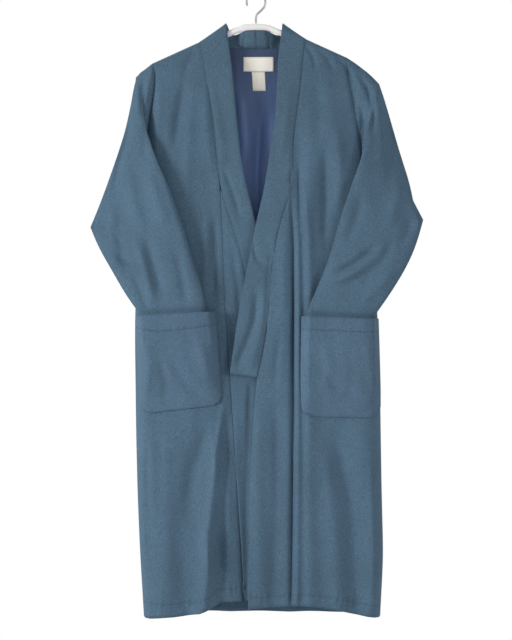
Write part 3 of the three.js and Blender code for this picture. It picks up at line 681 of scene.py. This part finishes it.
# %% Back
for line, half, inward in [
    ([(-122, -440), (-130, -760), (-142, -1175)], 14, 5.0),
    ([(-40, -480), (-46, -760), (-52, -1175)], 13, 5.0),
    ([(54, -490), (58, -760), (66, -1175)], 14, 5.5),
    ([(142, -520), (150, -860), (160, -1175)], 13, 5.0),
    ([(-84, -500), (-88, -800), (-96, -1175)], 16, -4.0),
    ([(8, -500), (6, -800), (10, -1175)], 17, -4.0),
    ([(102, -450), (106, -820), (112, -1175)], 15, -3.5),
    ([(-176, -400), (-184, -760), (-188, -1170)], 12, -3.0),
    ([(192, -420), (200, -780), (205, -1170)], 11, -3.0),
    ([(-170, -180), (-148, -300), (-130, -420)], 14, 3.0),
    ([(158, -175), (136, -300), (120, -410)], 14, 3.0),
]:
    crease(back, line, half, inward, end=0.05)
report(back)

# %% [markdown]
# The patch pockets are pressed flat at their edges and pushed out by the cuffs inside. A hem is turned
# in at the opening and stitched 24 mm down, and soft bends lead from the cuff to the lower corners.

# %% Pockets
POCKET_HEM = {
    "right": [(-226, -634), (-180, -641), (-115, -634), (-74, -628)],
    "left": [(85, -636), (120, -638), (161, -640), (231, -642)],
}
for line, half, out in [
    ([(-207, -640), (-200, -700), (-208, -775)], 9, 2.8),
    ([(-160, -690), (-125, -745), (-82, -768)], 12, -3.4),
    ([(-182, -680), (-168, -740), (-174, -788)], 9, -2.6),
    ([(-110, -650), (-96, -690), (-90, -740)], 10, 2.2),
]:
    crease(pocket["right"], line, half, out)
for line, half, out in [
    ([(106, -690), (150, -745), (208, -772)], 12, -3.4),
    ([(206, -640), (212, -700), (224, -765)], 9, 2.8),
    ([(128, -650), (136, -700), (128, -765)], 11, 2.4),
    ([(170, -660), (180, -720), (176, -780)], 10, -2.2),
]:
    crease(pocket["left"], line, half, out)
# The pocket's stitched hem is a groove darkened with painted shade.
for side in SIDES:
    refine(pocket[side], POCKET_HEM[side], 7, 2)
    groove(pocket[side], POCKET_HEM[side], 1.6, 1.1, dark=0.5, pucker=0.3, stitch=8.0)
    report(pocket[side])

# %% [markdown]
# The hem is turned up and stitched through, and every few stitches the cloth is drawn in. The puckers
# are uneven in a made garment, so two waves of unlike length are added together. The right overlap is
# also pressed back along the edge of the left one that lies on it. The hem grooves are darkened with
# painted shade, and the overlap with a painted shadow under the left one's edge.

# %% Hem stitching
groove(overlap["right"], [(-12, -745), (-18, -950), (-19, -1148)], 5, 2.5, dark=0.45)
HEM_ROWS = [
    (front["right"], [(-213, -1151), (-173, -1154), (-115, -1150), (-88, -1140), (-73, -1126), (-24, -1125)]),
    (overlap["right"], [(-26, -1125), (58, -1125)]),
    (overlap["left"], [(-15, -1139), (13, -1140), (66, -1135)]),
    (front["left"], [(64, -1135), (96, -1134), (145, -1140), (192, -1151), (238, -1158)]),
    (back, [(-213, -1157), (0, -1155), (238, -1157)]),
]
for piece, line in HEM_ROWS:
    refine(piece, line, 6, 2)
    groove(piece, line, 1.6, 1.0, dark=0.34, pucker=0.7, stitch=10.5)

# %% [markdown]
# Only the inside of the back shows its lining, between the two bands. Satin falls in soft vertical
# folds of its own, because it is cut wider than the wool so that it never pulls.

# %% Lining and labels
for line, half, out in [
    ([(9, -205), (5, -270), (2, -350), (4, -450)], 8, 4.0),
    ([(-34, -170), (-26, -250), (-20, -320)], 9, 2.6),
    ([(38, -200), (30, -290), (17, -400)], 8, 2.8),
]:
    crease(back_lining, line, half, out)
report(back_lining)
neck_label = shell("neck_label", 2)
care_label = shell("care_label", 2)

# %% [markdown]
# Last, the whole coat sways a little, and its seams and edges sink where the iron and the stitches
# press them, and are darkened there with painted shade.

# %% Sway and seams
cloth = [back, back_lining, neck_label, care_label]
cloth += [group[side] for group in (front, overlap, band, sleeve, pocket) for side in SIDES]
for piece in cloth:
    waver(piece)
for piece in cloth:
    if piece not in (back_lining, neck_label, care_label):
        seam_dip(piece)
print("sheets:", len(cloth))

# %% [markdown]
# The topstitching is real thread: every stitch is a small bead of dark blue polyester lying along its
# row, sunk a little in the cloth. One bead is modelled and all the others are placed copies of it,
# joined in one mesh. A ray from in front, or from behind for the back, finds the cloth under each.

# %% Topstitching, bar tacks and label stitches
STITCH = 3.2
bpy.ops.object.select_all(action="DESELECT")
bpy.ops.mesh.primitive_uv_sphere_add(segments=6, ring_count=4, radius=1)
bead = bpy.context.object
bead.name = "stitch"
bead_points = points_of(bead) * np.array([1.15, 0.24, 0.24]) * MM
bead_faces = [list(face.vertices) for face in bead.data.polygons]
bpy.data.objects.remove(bead)


def places_along(line, step):
    """Evenly spaced (x, z) places along a line, with the line's angle at each."""
    for a, b in zip(line[:-1], line[1:]):
        count = max(1, round(math.dist(a, b) / step))
        for n in range(count):
            t = (n + 0.5) / count
            yield a[0] + (b[0] - a[0]) * t, a[1] + (b[1] - a[1]) * t, math.atan2(b[1] - a[1], b[0] - a[0])


def stitch_row(name, rows, finish):
    """rows: (piece, line, step, side), where side is -1 for the front and 1 for the back."""
    points, faces = [], []
    for piece, line, step, side in rows:
        for x, z, angle in places_along(line, step):
            hit, where, normal, _ = piece.ray_cast((x * MM, side * 0.3, z * MM), (0, -side, 0))
            if not hit:
                continue
            along = Vector((math.cos(angle), 0, math.sin(angle)))
            along = (along - normal * along.dot(normal)).normalized()
            turn = np.array([along, normal.cross(along), normal])
            faces += [[corner + len(points) * len(bead_points) for corner in face] for face in bead_faces]
            points.append(bead_points @ turn + np.array(where))
    mesh = bpy.data.meshes.new(name)
    mesh.from_pydata(np.concatenate(points).tolist(), [], faces)
    row = bpy.data.objects.new(name, mesh)
    scene.collection.objects.link(row)
    select_only(row)
    bpy.ops.object.shade_smooth()
    row.data.materials.append(finish)
    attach(row, "root")
    print(name, len(points), "stitches")
    return row


TACK = {"right": (-79, -607), "left": (90, -616)}
topstitch_rows = [(piece, line, STITCH, 1 if piece is back else -1) for piece, line in HEM_ROWS]
for side in SIDES:
    topstitch_rows.append((pocket[side], POCKET_HEM[side], STITCH, -1))
    x, z = TACK[side]
    zigzag = [(x + 3 * (n % 2), z - 1.1 * n) for n in range(11)]
    topstitch_rows.append((pocket[side], zigzag, 2.0, -1))
stitch_row("topstitching", topstitch_rows, thread)
label_rows = [(neck_label, [(-22.5, -120), (32.5, -120)], 2.4, -1), (neck_label, [(-22.5, -144), (32.5, -144)], 2.4, -1),
              (neck_label, [(-22.5, -121), (-22.5, -143)], 2.4, -1), (neck_label, [(32.5, -121), (32.5, -143)], 2.4, -1),
              (care_label, [(-6, -147.5), (15, -147.5)], 2.4, -1)]
stitch_row("label_stitching", label_rows, pale_thread)

# %% [markdown]
# The hanger's two arms and hub were moulded in one piece, and its hook is a bent wire. Their solids are
# already right, so the hanger only loses its facets.

# %% Hanger
hanger = shell("hanger", 2, sharp=False)
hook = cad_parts["hanger_hook"]
report(hanger)

# %% [markdown]
# Each sheet is listed with the size it was cut to. The areas are those of the cut pieces without
# their seam allowances, because the solids leave those out too.

# %% Finish, slots and cut sizes
cuts = [
    (back, wool, "wool", (0.472, 1.10), 0.505),
    (front["right"], wool, "wool", (0.206, 1.10), 0.190),
    (front["left"], wool, "wool", (0.178, 1.10), 0.181),
    (overlap["right"], wool, "wool", (0.085, 0.78), 0.048),
    (overlap["left"], wool, "wool", (0.085, 0.79), 0.047),
    (band["right"], wool_band, "wool", (0.050, 0.80), 0.0335),
    (band["left"], wool_band, "wool", (0.050, 0.80), 0.0335),
    (sleeve["right"], wool, "wool", (0.440, 0.57), 0.125),
    (sleeve["left"], wool, "wool", (0.440, 0.58), 0.127),
    (pocket["right"], wool_pocket, "wool", (0.163, 0.192), 0.030),
    (pocket["left"], wool_pocket, "wool", (0.163, 0.192), 0.031),
    (back_lining, lining_satin, "lining", (0.195, 0.37), 0.065),
    (neck_label, neck_tape, "label", (0.058, 0.027), None),
    (care_label, care_tape, "label", (0.025, 0.036), None),
]
for piece, finish, slot_name, flat, area in cuts:
    piece.data.materials.append(finish)
hanger.data.materials.append(polystyrene)
hook.data.materials.clear()
hook.data.materials.append(wire)
